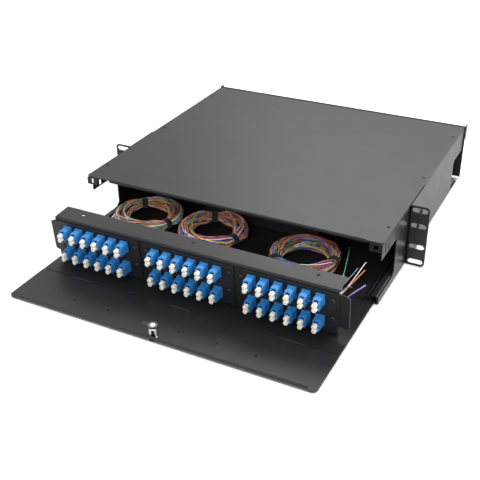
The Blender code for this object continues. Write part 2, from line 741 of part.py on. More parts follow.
def cap_row(name, centre, row, level):
    """Six duplex dust caps, each of two stacked round nubs, joined by a thin moulded web."""
    back = -SHEET - GAP - ADAPTER_FRONT - GAP
    front = back - CAP_LENGTH
    radius = CAP_SIZE[0] / 2
    rise = (CAP_SIZE[1] - CAP_SIZE[0]) / 2
    places = adapter_places(centre)
    x = (places[0], places[-1])
    z = (level - 0.5, level + 0.5)
    group = box(f"dust_caps_{name}_{row}", x, (back - 0.8, back - 0.05), z, "cream_plastic")
    for i, at in enumerate(places):
        for end in (1, -1):
            middle = (at, level + end * rise)
            add(group, rod(f"nub_{name}_{row}_{i}_{end}", "Y", middle, radius, front, back, None, 8))
    return group


def push_rivets(name, centre):
    """A push rivet near each end of a plate."""
    made = []
    for rivet, x in rivet_places(name, centre):
        at = (x, ROW_LEVELS["upper"])
        face = -SHEET - 2 * GAP
        pin = rod(f"push_rivet_{rivet}", "Y", at, 1.9, face - 1.0, SHEET + 4.0, "black_plastic", 12)
        add(pin, rod(f"rivet_head_{rivet}", "Y", at, 3.2, face - 2.0, face, None, 16))
        made.append(pin)
    return made


def fibre_coil(name, centre):
    """One coil of tight-buffered fibre. The left one lies on the runner, the others on the floor."""
    maker = bmesh.new()
    around, across = 28, 8
    z = TRAY_TOP + GAP + COIL_LIFTS[name] + COIL_MINOR * COIL_FLATTEN
    rings = []
    for i in range(around):
        turn = 2 * math.pi * i / around
        ring = []
        for j in range(across):
            roll = 2 * math.pi * j / across
            reach = COIL_MAJOR + COIL_MINOR * math.cos(roll)
            x = centre[0] + reach * math.cos(turn)
            y = FRONT + centre[1] + reach * math.sin(turn)
            ring.append(maker.verts.new((x, y, z + COIL_FLATTEN * COIL_MINOR * math.sin(roll))))
        rings.append(ring)
    for i in range(around):
        for j in range(across):
            here, there = rings[i], rings[(i + 1) % around]
            k = (j + 1) % across
            maker.faces.new((here[j], there[j], there[k], here[k]))
    coil = add_object(f"fibre_coil_{name}", maker, "fibre_jacket")
    coil.data.shade_smooth()
    return coil


def splice_tray():
    """An open tray for the splices, behind the coils."""
    length, width, height = SPLICE_SIZE
    low = TRAY_TOP + GAP
    x = (-length / 2, length / 2)
    y = (SPLICE_FRONT, SPLICE_FRONT + width)
    tray = box("splice_tray", x, y, (low, low + height), "black_plastic")
    inside_x = (x[0] + SPLICE_WALL, x[1] - SPLICE_WALL)
    inside_y = (y[0] + SPLICE_WALL, y[1] - SPLICE_WALL)
    cut(tray, box("splice_hollow", inside_x, inside_y, (low + SPLICE_WALL, low + height + 1)))
    return tray


def splice_cover():
    length, width, height = SPLICE_SIZE
    low = TRAY_TOP + GAP + height + GAP
    y = (SPLICE_FRONT, SPLICE_FRONT + width)
    return box("splice_cover", (-length / 2, length / 2), y, (low, low + SPLICE_WALL), "black_plastic")


# Door and lock


def door_panel():
    """The front door lying flat, with a lip along its free edge."""
    free = HINGE_Y - DOOR_LENGTH
    start = HINGE_Y - DOOR_EDGE
    leaf_end = HINGE_Y - KNUCKLE_RADIUS - HINGE_CLEARANCE - 1.0
    fold = free + FOLD_REACH
    rounded = rounded_rectangle((-TRAY_HALF, TRAY_HALF), (free, start + DOOR_LENGTH), DOOR_CORNER)
    free_corners = [p for p in rounded if p[1] < start]
    middle = len(free_corners) // 2
    notch = [(-DOOR_LIP_HALF, free), (-DOOR_LIP_HALF, fold), (DOOR_LIP_HALF, fold), (DOOR_LIP_HALF, free)]
    outline = [(TRAY_HALF, start), (-TRAY_HALF, start)]
    outline += free_corners[:middle] + notch + free_corners[middle:]
    door = prism("door_panel", outline, "Z", TRAY_BOTTOM, TRAY_TOP, "powder_coat")
    path = [(free, TRAY_TOP + DOOR_LIP), (free, TRAY_BOTTOM), (fold + 1, TRAY_BOTTOM)]
    lip = folded_sheet(path, TRAY_SHEET)
    add(door, prism("door_lip", lip, "X", -DOOR_LIP_HALF, DOOR_LIP_HALF))
    for name, x in HINGE_CENTRES.items():
        cut(door, hinge_pocket(f"door_pocket_{name}", x))
        reach = (x - DOOR_KNUCKLE / 2, x + DOOR_KNUCKLE / 2)
        leaf = box(f"door_leaf_{name}", reach, (leaf_end, HINGE_Y), (TRAY_BOTTOM, TRAY_TOP))
        add(door, leaf, knuckle(f"door_knuckle_{name}", x, DOOR_KNUCKLE))
        cut(door, hinge_bore(f"door_bore_{name}", x))
    for i in range(DOOR_HOLES["count"]):
        at = (DOOR_HOLES["first"] + DOOR_HOLES["step"] * i, free + DOOR_HOLES["from_edge"])
        cut(door, rod(f"door_hole_{i}", "Z", at, DOOR_HOLES["radius"], 0.0, 6.0, None, 8))
    cut(door, rod("lock_hole", "Z", (LOCK_X, LOCK_Y), LOCK_BARREL_RADIUS + GAP, 0.0, 6.0, None, 24))
    return door


def lock_barrel():
    """The lock's barrel with flats at the front and back, a bezel under the door and a bore for the plug."""
    at = (LOCK_X, LOCK_Y)
    barrel = rod("lock_barrel", "Z", at, LOCK_BARREL_RADIUS, 0.4, LOCK_BARREL_TOP, "chrome", 24)
    add(barrel, rod("lock_bezel", "Z", at, LOCK_BEZEL_RADIUS, 0.3, TRAY_BOTTOM - GAP, None, 24))
    for side in (1, -1):
        y = sorted((LOCK_Y + side * LOCK_FLAT, LOCK_Y + side * 9.0))
        z = (TRAY_TOP + 1.5, LOCK_BARREL_TOP + 1)
        cut(barrel, box(f"lock_flat_{side}", (LOCK_X - 9, LOCK_X + 9), y, z))
    cut(barrel, rod("lock_bore", "Z", at, LOCK_PLUG_RADIUS + GAP, 0.0, LOCK_BARREL_TOP + 1, None, 16))
    return barrel


def lock_plug():
    """The turning plug, with a key slot at the door's outer face."""
    at = (LOCK_X, LOCK_Y)
    plug = rod("lock_plug", "Z", at, LOCK_PLUG_RADIUS, 0.6, LOCK_BARREL_TOP + GAP, "chrome", 16)
    cut(plug, box("key_slot", (LOCK_X - 0.5, LOCK_X + 0.5), (LOCK_Y - 2.0, LOCK_Y + 2.0), (0.0, 8.0)))
    return plug


def lock_cam():
    """The cam plate on the plug's end: a disc with one short arm, pointing along the door when unlocked."""
    low = LOCK_BARREL_TOP + 2 * GAP
    high = low + CAM_THICKNESS
    cam = rod("lock_cam", "Z", (LOCK_X, LOCK_Y), CAM_RADIUS, low, high, "black_plastic", 28)
    y = (LOCK_Y - CAM_ARM_HALF, LOCK_Y + CAM_ARM_HALF)
    add(cam, box("cam_arm", (LOCK_X - CAM_ARM, LOCK_X), y, (low, high)))
    return cam


def cam_screw():
    """The round-headed screw that holds the cam on."""
    low = LOCK_BARREL_TOP + 3 * GAP + CAM_THICKNESS
    maker = bmesh.new()
    head_radius, rise, rings, around = 3.8, 2.2, 4, 16
    loops = []
    for ring in range(rings):
        slope = math.pi / 2 * ring / rings
        height = low + rise * math.sin(slope)
        outline = circle((LOCK_X, LOCK_Y), head_radius * math.cos(slope), around)
        loops.append([maker.verts.new((x, y, height)) for x, y in outline])
    maker.faces.new(reversed(loops[0]))
    for lower, upper in zip(loops, loops[1:]):
        for i in range(around):
            j = (i + 1) % around
            maker.faces.new((lower[i], lower[j], upper[j], upper[i]))
    tip = maker.verts.new((LOCK_X, LOCK_Y, low + rise))
    for i in range(around):
        maker.faces.new((loops[-1][i], loops[-1][(i + 1) % around], tip))
    screw = add_object("cam_screw", maker, "chrome")
    screw.data.shade_smooth()
    return screw


def build_case():
    base_shell()
    top_cover()
    cover_screws()
    rear_panel()
    rear_grommets()
    lock_strike()
    for side, name in ((1, "right"), (-1, "left")):
        rack_ear(side, name)
        ear_screws(side, name)
        guide_rail(side, name)


def build_drawer():
    drawer = add_empty("drawer_slide", (0.0, HINGE_Y, TRAY_BOTTOM))
    pieces = [tray_floor(), *hinge_pins(), splice_tray(), splice_cover()]
    pieces += [runner(1, "right"), runner(-1, "left")]
    pieces += [fibre_coil(name, centre) for name, centre in COIL_CENTRES.items()]
    ride(drawer, *pieces)
    panel_frame = add_empty("panel_frame", (PANEL_X, PANEL_FOOT_Y, TRAY_TOP), PANEL_LEAN)
    patch_panel(panel_frame)
    for name, centre in plate_centres():
        pieces = [adapter_plate(name, centre), *push_rivets(name, centre)]
        for row, level in ROW_LEVELS.items():
            pieces += [adapter_row(name, centre, row, level), cap_row(name, centre, row, level)]
        hold(panel_frame, *pieces)


def build_door():
    hinge = add_empty("door_hinge", (0.0, HINGE_Y, HINGE_Z))
    lock = add_empty("lock_axis", (LOCK_X, LOCK_Y, TRAY_TOP))
    ride(hinge, door_panel(), lock_barrel())
    ride(lock, lock_plug(), lock_cam(), cam_screw())


def main():
    clear_scene()
    build_case()
    build_drawer()
    build_door()


main()
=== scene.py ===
"""The looks of the fibre termination box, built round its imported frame.

Shapes are drawn in millimetres and become metres when a mesh is made. Turned shapes, such as screws and
caps, are given by their profile: (radius, height) points, from the low end up. The patch panel leans, so
everything that it carries is drawn in the panel's own frame: X across, Y into the panel, Z up along it.
"""

import json
import math
import random

import bmesh
import bpy
from mathutils import Matrix, Vector

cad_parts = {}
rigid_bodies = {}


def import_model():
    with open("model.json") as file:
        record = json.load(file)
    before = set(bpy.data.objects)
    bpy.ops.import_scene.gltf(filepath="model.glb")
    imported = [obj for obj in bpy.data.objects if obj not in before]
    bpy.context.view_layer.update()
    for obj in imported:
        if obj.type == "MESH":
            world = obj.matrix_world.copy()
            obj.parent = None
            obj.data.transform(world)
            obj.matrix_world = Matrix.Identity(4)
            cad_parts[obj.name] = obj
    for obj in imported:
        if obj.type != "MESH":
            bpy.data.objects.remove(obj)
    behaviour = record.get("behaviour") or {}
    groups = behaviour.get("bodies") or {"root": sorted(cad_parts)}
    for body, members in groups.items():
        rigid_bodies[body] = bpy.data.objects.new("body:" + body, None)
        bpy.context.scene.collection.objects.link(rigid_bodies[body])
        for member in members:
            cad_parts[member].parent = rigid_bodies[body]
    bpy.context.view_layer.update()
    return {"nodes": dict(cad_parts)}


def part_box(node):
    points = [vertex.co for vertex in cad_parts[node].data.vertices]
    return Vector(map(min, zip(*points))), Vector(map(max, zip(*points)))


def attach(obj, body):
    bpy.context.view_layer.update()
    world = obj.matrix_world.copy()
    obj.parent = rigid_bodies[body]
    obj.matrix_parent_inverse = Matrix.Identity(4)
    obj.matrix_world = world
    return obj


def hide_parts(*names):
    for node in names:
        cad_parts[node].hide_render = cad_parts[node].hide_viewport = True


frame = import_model()

MM = 0.001
NODES = frame["nodes"]
PLATES = ("left", "middle", "right")
ROWS = ("upper", "lower")
QUARTER = math.pi / 2
WHOLE = 2 * math.pi
SIDEWAYS = Vector((1.0, 0.0, 0.0))
UPWARD = Vector((0.0, 0.0, 1.0))

# Materials: the spans of values in which a mask of noise, or the upward part of a normal, takes effect
NOISE_SPAN = (0.3, 0.7)
UPWARD_SPAN = (0.5, 0.9)
COAT_SHINE = 0.32
# Shine on the ears' upward faces, lowered there as painted shade
PAINTED_SHADE_SHINE = 0.04

# Mesh tools: edges sharper than EDGE_ANGLE are rounded, and faces within FLAT_ANGLE of each other are joined
EDGE_ANGLE = math.radians(35)
FLAT_ANGLE = math.radians(0.5)
WELD_GAP = 0.01
JOIN_GAP = 0.0005
ON_AXIS = 1e-6
NEARLY_UPRIGHT = 0.05

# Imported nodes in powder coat, each group after the rounding of its edges
COATED_NODES = (
    (0.35, ("base_shell", "rear_panel")),
    (0.3, ("tray_floor", "patch_panel")),
    (0.25, ("guide_rail_left", "guide_rail_right", "runner_left", "runner_right")),
    (0.25, ("adapter_plate_left", "adapter_plate_middle", "adapter_plate_right")),
    (0.2, ("lock_strike",)),
)
WIDE_SHEETS = ("top_cover", "door_panel")
WIDE_SHEET_EDGE = 0.3
RACK_EARS = ("rack_ear_left", "rack_ear_right")
RACK_EAR_EDGE = 0.2
SPLICE_PARTS = ("splice_tray", "splice_cover")
SPLICE_EDGE = 0.4
LOCK_PLUG_EDGE = 0.15
LOCK_CAM_EDGE = 0.3

# Screws and rivets with a cross recess, head up, their seat at height zero
RECESS_DEPTH = 1.0
COVER_SCREW = {
    "profile": [(0.0, -5.0), (1.3, -5.0), (1.3, -1.4), (2.1, -0.25), (2.1, -0.05), (1.9, 0.0), (0.0, 0.0)],
    "recess_reach": 1.2,
    "recess_width": 0.5,
    "edge": 0.06,
}
EAR_SCREW = {
    "profile": [
        (0.0, -4.0), (2.0, -4.0), (2.0, 0.0),
        (3.6, 0.0), (3.6, 0.6), (3.3, 1.2), (2.4, 1.65), (0.0, 1.8),
    ],
    "recess_reach": 1.9,
    "recess_width": 0.8,
    "edge": 0.1,
}
PUSH_RIVET = {
    "profile": [
        (0.0, -7.0), (1.7, -6.6), (1.9, -5.4), (1.9, 0.0),
        (3.2, 0.0), (3.2, 0.7), (2.9, 1.4), (2.0, 1.9), (0.0, 2.0),
    ],
    "recess_reach": 1.7,
    "recess_width": 0.7,
    "edge": 0.1,
}
EAR_HEAD_HEIGHT = 1.8
RIVET_OUT = 1.6
RIVET_DROP = 26.0

# Grommets
GROMMET_PROFILE = [
    (0.0, -4.6), (10.6, -4.6), (11.6, -3.6), (11.6, 0.0), (15.0, 0.1), (15.0, 1.6), (14.2, 2.4),
    (12.4, 2.4), (11.6, 1.4), (9.0, 1.2), (8.4, 1.7), (7.6, 1.7), (7.0, 1.2), (4.4, 1.2), (3.8, 1.7),
    (3.0, 1.7), (2.4, 1.2), (0.0, 1.2),
]
GROMMET_INSET = 2.7
GROMMET_SIDES = 48
GROMMET_EDGE = 0.3

# Lock: its barrel goes through the door, from the bezel outside to the threaded top
BARREL_TURN = math.radians(26.0)
BARREL_RADIUS = 5.3
BARREL_BORE = 3.3
BARREL_FLAT = 4.5
BARREL_COLLAR = 1.6
BARREL_CHAMFER = 0.4
BARREL_SIDES = 64
BARREL_EDGE = 0.08
ON_FLAT = 0.01
BEZEL_RADIUS = 6.8
BEZEL_LOW = 0.3
BEZEL_HIGH = 1.5
BEZEL_CHAMFER = 0.5
THREAD_LOW = 3.9
THREAD_PITCH = 1.0
THREAD_DEPTH = 0.35
THREAD_ROOT = 0.4
THREAD_CREST = 0.8
THREAD_END = 0.5
FLAT_LOW = 3.8
WASHER_PROFILE = [(2.0, 0.0), (6.0, 0.0), (6.0, 0.3), (5.8, 0.5), (2.0, 0.5), (2.0, 0.0)]

# A duplex adapter about its own centre: (low, high) pairs across it, along it and up it
ADAPTER_BODY = ((-4.65, 4.65), (-11.8, 14.9), (-6.4, 6.4))
ADAPTER_NOSE = ((-4.15, 4.15), (-14.9, -11.0), (-6.4, 5.5))
ADAPTER_FLANGE = ((-5.3, 5.3), (-2.2, 0.8), (-7.2, 7.2))
ADAPTER_KEY = ((-1.5, 1.5), (-10.8, -2.0), (5.9, 7.0))
RIB_ACROSS = (4.15, 5.0)
RIB_ALONG = (-9.6, -2.0)
RIB_LEVELS = ((2.0, 3.6), (-3.8, -2.2))
PORT_ACROSS = (-2.7, 2.7)
PORT_ENDS = ((-15.9, -7.5), (7.5, 15.9))
PORT_LEVELS = ((0.4, 5.6), (-5.6, -0.4))
LATCH_WINDOW = ((-2.0, 2.0), (-9.4, -5.4), (-7.4, -5.6))
NOTCH_ACROSS = (3.95, 5.65)
NOTCH_ALONG = (-11.0, -9.6)
NOTCH_UP = (-7.4, -4.2)
CLIP_LEAF_ACROSS = (4.7, 5.05)
CLIP_LEAF_ALONG = (2.9, 7.6)
CLIP_LEAF_UP = (-3.0, 3.0)
CLIP_STRIP_ACROSS = (-4.25, 4.25)
CLIP_STRIP_ALONG = (2.9, 4.1)
CLIP_STRIP_UP = (6.45, 6.8)
ADAPTER_EDGE = 0.22
CLIP_EDGE = 0.1

# Rows of adapters, on the leaning panel
LEAN = math.radians(4.0)
ADAPTERS_PER_ROW = 6
ADAPTER_FLANGE_WIDTH = 10.6

# Dust caps: two nubs on a bridge, each cap a little askew, by up to so many degrees
CAP_PROFILE = [
    (0.0, -0.1), (2.4, -0.1), (2.4, 0.5), (3.0, 0.7), (3.05, 1.4), (2.75, 1.7), (2.75, 2.6), (3.05, 2.9),
    (3.05, 5.0), (2.85, 5.6), (2.4, 5.95), (1.5, 6.0), (1.2, 5.7), (1.1, 4.6), (0.0, 4.5),
]
CAP_LEVELS = (2.95, -2.95)
CAP_BRIDGE = ((-1.7, 1.7), (-1.5, -0.4), (-3.2, 3.2))
CAP_SIDES = 28
CAP_EDGE = 0.12
CAP_FRONT = 14.8
CAP_TILT = 2.5
CAP_SWING = 3.0
CAP_SEED = 11

# Fibre coils: rings of loops, drawn in by two ties at the given angles in degrees. A loop's share is how far
# out it lies in its ring's section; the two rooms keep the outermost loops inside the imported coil.
STRAND_RADIUS = 0.6
STRAND_SIDES = 8
STRANDS_PER_COIL = 54
COIL_MINOR = 13.0
COIL_SIDE_ROOM = 2.0
COIL_TOP_ROOM = 1.5
LOOP_STEPS = 90
LEAST_SHARE = 0.5
TWISTS = (-1, 0, 0, 1)
WAVES_PER_LOOP = 3
WAVE_COUNTS = (2, 5)
WAVE_SIZES = (0.1, 0.4)
WAVE_LIFT = 0.4
TIE_ANGLES = {"left": (133, -18), "middle": (115, -17), "right": (-145, 8)}
TIE_SQUEEZE = 0.52
TIE_SPREAD = 0.3

# Tie bands: half the opening, outward and up, and the section in shares of the (thickness, width)
BAND_REACH = (7.0, 6.3)
BAND_WIDTH = 9.0
BAND_THICKNESS = 1.2
BAND_SECTION = ((0.0, -0.5), (1.0, -0.42), (1.0, 0.42), (0.0, 0.5))
BAND_STEPS = 36
BAND_EDGE = 0.3

# Jacket colours, and how often each is drawn for a coil
JACKET_COLOURS = {
    "blue": (0.10, 0.19, 0.72),
    "orange": (0.90, 0.29, 0.06),
    "green": (0.10, 0.42, 0.16),
    "brown": (0.34, 0.17, 0.09),
    "slate": (0.38, 0.42, 0.48),
    "white": (0.88, 0.86, 0.88),
    "red": (0.72, 0.09, 0.07),
    "black": (0.04, 0.04, 0.04),
    "yellow": (0.92, 0.68, 0.12),
    "violet": (0.38, 0.24, 0.64),
    "rose": (0.90, 0.46, 0.50),
    "aqua": (0.25, 0.58, 0.60),
}
JACKET_SHARES = (4, 5, 4, 3, 2, 4, 4, 3, 5, 3, 5, 2)

# Single fibres: the points that each runs through
LOOSE_FIBRES = {
    "white": [(150, -176, 54), (164, -170, 40), (175, -140, 24), (181, -120, 28), (190, -90, 45)],
    "orange": [(133, -176, 54), (158, -168, 36), (174, -142, 22), (182, -126, 28), (195, -108, 45)],
    "violet": [(168, -176, 54), (176, -170, 36), (184, -155, 26), (194, -147, 34), (207, -139, 45)],
    "blue": [(150, -176, 24), (162, -160, 16), (172, -138, 20), (180, -127, 27), (185, -123, 26)],
    "green": [(170, -118, 10), (167, -106, 24), (163, -84, 36), (156, -56, 36), (149, -36, 26)],
    "slate": [(133, -176, 24), (150, -158, 12), (164, -120, 12), (172, -96, 20), (176, -77, 25)],
}
LOOSE_RADIUS = 0.55
THICK_RADIUS = 0.8
LEFT_FEEDERS = {
    "rose": [(-178, -108, 10), (-196, -92, 12), (-199, -68, 16), (-190, -44, 22), (-170, -24, 24)],
    "white": [(-170, -150, 14), (-184, -116, 12), (-194, -88, 16), (-193, -62, 20), (-182, -38, 24)],
    "blue": [(-160, -160, 20), (-176, -126, 16), (-188, -96, 18), (-190, -72, 22), (-182, -50, 25)],
}
SLEEVES = {"right": ((169, -112, 23), (165, -99, 29)), "left": ((-143, -103, 23), (-139, -110, 27))}
SLEEVE_PROFILE = [
    (0.0, 0.0), (1.2, 0.0), (1.35, 0.4), (1.35, 9.0), (1.2, 9.4),
    (0.7, 9.5), (0.6, 12.5), (0.0, 12.6),
]
SLEEVE_SIDES = 16

# Studio: the sky's brightness by height, as (sine of the height, brightness)
SKY_STOPS = ((0.3, 0.36), (0.58, 1.0), (0.9, 0.5))
SKY_STRENGTH = 1.6
FLOOR_REACH = 8000.0
FLOOR_DROP = 0.3
FLOOR_WASH_STRENGTH = 6.4
FLOOR_WASH_ANGLE = math.radians(4.0)

# Lamps: place and aim in metres, size in metres, power in watts
LAMPS = {
    "back": ((-0.55, 2.2, 2.0), (0.0, 0.0, 0.05), 1.4, 21.0),
    "right_back": ((1.3, 1.2, 1.2), (0.8, 0.8, 0.0), 1.0, 40.0),
    "mouth": ((0.3, -1.5, 0.9), (0.0, -0.05, 0.03), 0.5, 6.0),
    "fibre": ((0.1, -1.1, 1.2), (0.0, -0.1, 0.03), 0.4, 10.0),
}
FIBRE_NAMES = ("fibre_loops_", "loose_fibre_", "feeder_fibre_")

# Camera
CAMERA_AT = Vector((0.4469, -0.9187, 0.5791))
CAMERA_TURN = math.radians(27.572)
CAMERA_TILT = math.radians(30.340)
CAMERA_ROLL = math.radians(-0.869)
CAMERA_LENS = 60.89
SENSOR = 36.0


# Materials


def new_material(name, colour, roughness, metallic=0.0):
    made = bpy.data.materials.new(name)
    made.use_nodes = True
    shader = shader_of(made)
    shader.inputs["Base Color"].default_value = (*colour, 1.0)
    shader.inputs["Roughness"].default_value = roughness
    shader.inputs["Metallic"].default_value = metallic
    return made


def shader_of(material):
    return material.node_tree.nodes["Principled BSDF"]


def grey(level):
    return (level, level, level)


def shaded(colour, factor):
    return tuple(min(1.0, part * factor) for part in colour)


def noise_over(material, scale, detail=2.0, stretch=(1.0, 1.0, 1.0)):
    """Noise fixed to the object, with the given number of features in a metre."""
    nodes, links = material.node_tree.nodes, material.node_tree.links
    place = nodes.new("ShaderNodeTexCoord")
    mapping = nodes.new("ShaderNodeMapping")
    mapping.inputs["Scale"].default_value = stretch
    noise = nodes.new("ShaderNodeTexNoise")
    noise.inputs["Scale"].default_value = scale
    noise.inputs["Detail"].default_value = detail
    links.new(place.outputs["Object"], mapping.inputs["Vector"])
    links.new(mapping.outputs["Vector"], noise.inputs["Vector"])
    return noise.outputs["Fac"]


def vary_colour(material, mask, first, second, low=0.35, high=0.65):
    """Blends from the first colour to the second where the mask runs from low to high."""
    nodes, links = material.node_tree.nodes, material.node_tree.links
    ramp = nodes.new("ShaderNodeValToRGB")
    ramp.color_ramp.elements[0].position = low
    ramp.color_ramp.elements[0].color = (*first, 1.0)
    ramp.color_ramp.elements[1].position = high
    ramp.color_ramp.elements[1].color = (*second, 1.0)
    links.new(mask, ramp.inputs["Fac"])
    links.new(ramp.outputs["Color"], shader_of(material).inputs["Base Color"])


def map_to_socket(material, socket, value, value_span, socket_span):
    """Links a value to a socket of the shader, carried from one (low, high) span to another."""
    nodes, links = material.node_tree.nodes, material.node_tree.links
    span = nodes.new("ShaderNodeMapRange")
    span.inputs["From Min"].default_value, span.inputs["From Max"].default_value = value_span
    span.inputs["To Min"].default_value, span.inputs["To Max"].default_value = socket_span
    links.new(value, span.inputs["Value"])
    links.new(span.outputs["Result"], shader_of(material).inputs[socket])


def vary_roughness(material, mask, low, high):
    map_to_socket(material, "Roughness", mask, NOISE_SPAN, (low, high))


def add_bump(material, mask, strength, depth):
    """Raises the surface by up to depth millimetres."""
    nodes, links = material.node_tree.nodes, material.node_tree.links
    bump = nodes.new("ShaderNodeBump")
    bump.inputs["Strength"].default_value = strength
    bump.inputs["Distance"].default_value = depth * MM
    links.new(mask, bump.inputs["Height"])
    links.new(bump.outputs["Normal"], shader_of(material).inputs["Normal"])


def powder_coat(name):
    """Semi-gloss black powder coat with fine orange peel and faint cloudiness."""
    made = new_material(name, (0.015, 0.015, 0.0165), roughness=0.36)
    shader_of(made).inputs["Specular IOR Level"].default_value = COAT_SHINE
    clouds = noise_over(made, scale=9.0, detail=4.0)
    vary_colour(made, clouds, (0.0135, 0.0135, 0.015), (0.0165, 0.0165, 0.018))
    vary_roughness(made, noise_over(made, scale=40.0, detail=3.0), low=0.36, high=0.39)
    add_bump(made, noise_over(made, scale=900.0), strength=0.2, depth=0.015)
    return made


def paint_shade_on_upward_faces(material):
    """Painted shade: less shine on faces that look straight up, so that the top edges of a standing sheet
    look dark as if in shadow.
    """
    nodes, links = material.node_tree.nodes, material.node_tree.links
    shape = nodes.new("ShaderNodeNewGeometry")
    parts = nodes.new("ShaderNodeSeparateXYZ")
    links.new(shape.outputs["Normal"], parts.inputs["Vector"])
    shine = (COAT_SHINE, PAINTED_SHADE_SHINE)
    map_to_socket(material, "Specular IOR Level", parts.outputs["Z"], UPWARD_SPAN, shine)


def plated_steel():
    """Zinc plate with faint streaks along the rolled sheet."""
    made = new_material("zinc_plate", (0.62, 0.63, 0.65), roughness=0.32, metallic=1.0)
    streaks = noise_over(made, scale=160.0, detail=3.0, stretch=(1.0, 0.04, 1.0))
    spangle = noise_over(made, scale=60.0, detail=3.0)
    vary_colour(made, spangle, (0.55, 0.56, 0.58), (0.68, 0.69, 0.71))
    vary_roughness(made, streaks, low=0.24, high=0.42)
    add_bump(made, streaks, strength=0.15, depth=0.02)
    return made


def dark_steel(name, shade):
    """Oxidised steel, slightly blotched."""
    made = new_material(name, grey(shade), roughness=0.38, metallic=1.0)
    blotches = noise_over(made, scale=700.0, detail=3.0)
    vary_colour(made, blotches, grey(shade * 0.7), grey(shade * 1.6))
    vary_roughness(made, noise_over(made, scale=500.0), low=0.3, high=0.48)
    return made


def chrome():
    """Bright plate, dulled a little by handling."""
    made = new_material("chrome_plate", (0.84, 0.85, 0.87), roughness=0.1, metallic=1.0)
    clouds = noise_over(made, scale=260.0, detail=3.0)
    vary_colour(made, clouds, (0.78, 0.79, 0.82), (0.88, 0.89, 0.90))
    vary_roughness(made, noise_over(made, scale=350.0, detail=3.0), low=0.07, high=0.18)
    return made


def moulded_plastic(name, colour, roughness, spread):
    """Moulded plastic with slight clouding and a finely sparked surface."""
    made = new_material(name, colour, roughness)
    clouds = noise_over(made, scale=220.0, detail=3.0)
    vary_colour(made, clouds, shaded(colour, 1 - spread), shaded(colour, 1 + spread))
    vary_roughness(made, clouds, low=roughness * 0.9, high=roughness * 1.15)
    add_bump(made, noise_over(made, scale=2400.0), strength=0.2, depth=0.01)
    return made


def rubber():
    """Matt black rubber."""
    made = new_material("grommet_rubber", grey(0.014), roughness=0.75)
    vary_colour(made, noise_over(made, scale=300.0, detail=4.0), grey(0.011), grey(0.02))
    add_bump(made, noise_over(made, scale=1500.0, detail=3.0), strength=0.5, depth=0.03)
    return made


def tie_fabric():
    """Black hook-and-loop tape."""
    made = new_material("tie_fabric", (0.012, 0.012, 0.013), roughness=0.85)
    shader_of(made).inputs["Sheen Weight"].default_value = 0.25
    fluff = noise_over(made, scale=1800.0, detail=4.0)
    vary_colour(made, fluff, (0.008, 0.008, 0.009), (0.022, 0.022, 0.024))
    add_bump(made, fluff, strength=0.8, depth=0.15)
    return made


def jacket(name, colour):
    """Tight-buffered fibre jacket."""
    made = new_material(f"jacket_{name}", colour, roughness=0.38)
    vary_colour(made, noise_over(made, scale=90.0), shaded(colour, 0.86), shaded(colour, 1.12))
    vary_roughness(made, noise_over(made, scale=400.0), low=0.32, high=0.46)
    return made


def floor_paint():
    """Pale matt floor."""
    made = new_material("floor_pale", grey(0.35), roughness=0.9)
    vary_colour(made, noise_over(made, scale=3.0), grey(0.34), grey(0.36))
    return made


# Mesh tools


def add_object(name, data):
    made = bpy.data.objects.new(name, data)
    bpy.context.scene.collection.objects.link(made)
    return made


def new_piece(name, maker, *materials):
    """A mesh object from a bmesh in millimetres."""
    maker.transform(Matrix.Scale(MM, 4))
    bmesh.ops.recalc_face_normals(maker, faces=maker.faces)
    mesh = bpy.data.meshes.new(name)
    maker.to_mesh(mesh)
    maker.free()
    for material in materials:
        mesh.materials.append(material)
    return add_object(name, mesh)


def another(name, model, turn):
    """One more object with the model's mesh and bevel, placed by a matrix in metres."""
    made = add_object(name, model.data)
    made.matrix_world = turn
    for step in model.modifiers:
        copy = made.modifiers.new(step.name, step.type)
        copy.width = step.width
        copy.segments = step.segments
        copy.limit_method = step.limit_method
        copy.angle_limit = step.angle_limit
        copy.harden_normals = step.harden_normals
    return made


def put(piece, body, slot, *replaced):
    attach(piece, body)
    if replaced:
        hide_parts(*replaced)


def add_bevel(piece, width, segments=2):
    bevel = piece.modifiers.new("round_edges", "BEVEL")
    bevel.width = width * MM
    bevel.segments = segments
    bevel.limit_method = "ANGLE"
    bevel.angle_limit = EDGE_ANGLE
    return bevel


def round_edges(piece, width, segments=2):
    """Small rounded edges on a piece, with flat faces left flat."""
    piece.data.shade_smooth()
    bevel = add_bevel(piece, width, segments)
    bevel.harden_normals = True


def soften(node, width, clamped):
    """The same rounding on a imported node, whose mesh arrives as loose triangles."""
    node.data.shade_smooth()
    weld = node.modifiers.new("weld", "WELD")
    weld.merge_threshold = WELD_GAP * MM
    flat = node.modifiers.new("flat_faces", "DECIMATE")
    flat.decimate_type = "DISSOLVE"
    flat.angle_limit = FLAT_ANGLE
    bevel = add_bevel(node, width)
    bevel.use_clamp_overlap = clamped
    normals = node.modifiers.new("even_normals", "WEIGHTED_NORMAL")
    normals.keep_sharp = False


def paint(node, material):
    node.data.materials.clear()
    node.data.materials.append(material)


def dress(names, material, width, clamped=False):
    """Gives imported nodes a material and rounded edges, which when clamped can't reach past the sheet."""
    for name in names:
        paint(NODES[name], material)
        soften(NODES[name], width, clamped)


BLOCK_FACES = ((0, 1, 3, 2), (4, 6, 7, 5), (0, 4, 5, 1), (2, 3, 7, 6), (0, 2, 6, 4), (1, 5, 7, 3))


def add_block(maker, x, y, z):
    """A closed box from three (low, high) pairs."""
    corners = [maker.verts.new((a, b, c)) for a in x for b in y for c in z]
    for quad in BLOCK_FACES:
        maker.faces.new([corners[i] for i in quad])


def block(x, y, z):
    maker = bmesh.new()
    add_block(maker, x, y, z)
    return maker


def both_sides(pair):
    """A (low, high) pair and its mirror image."""
    low, high = pair
    return (low, high), (-high, -low)


def round_point(radius, angle, height=0.0):
    return Vector((radius * math.cos(angle), radius * math.sin(angle), height))


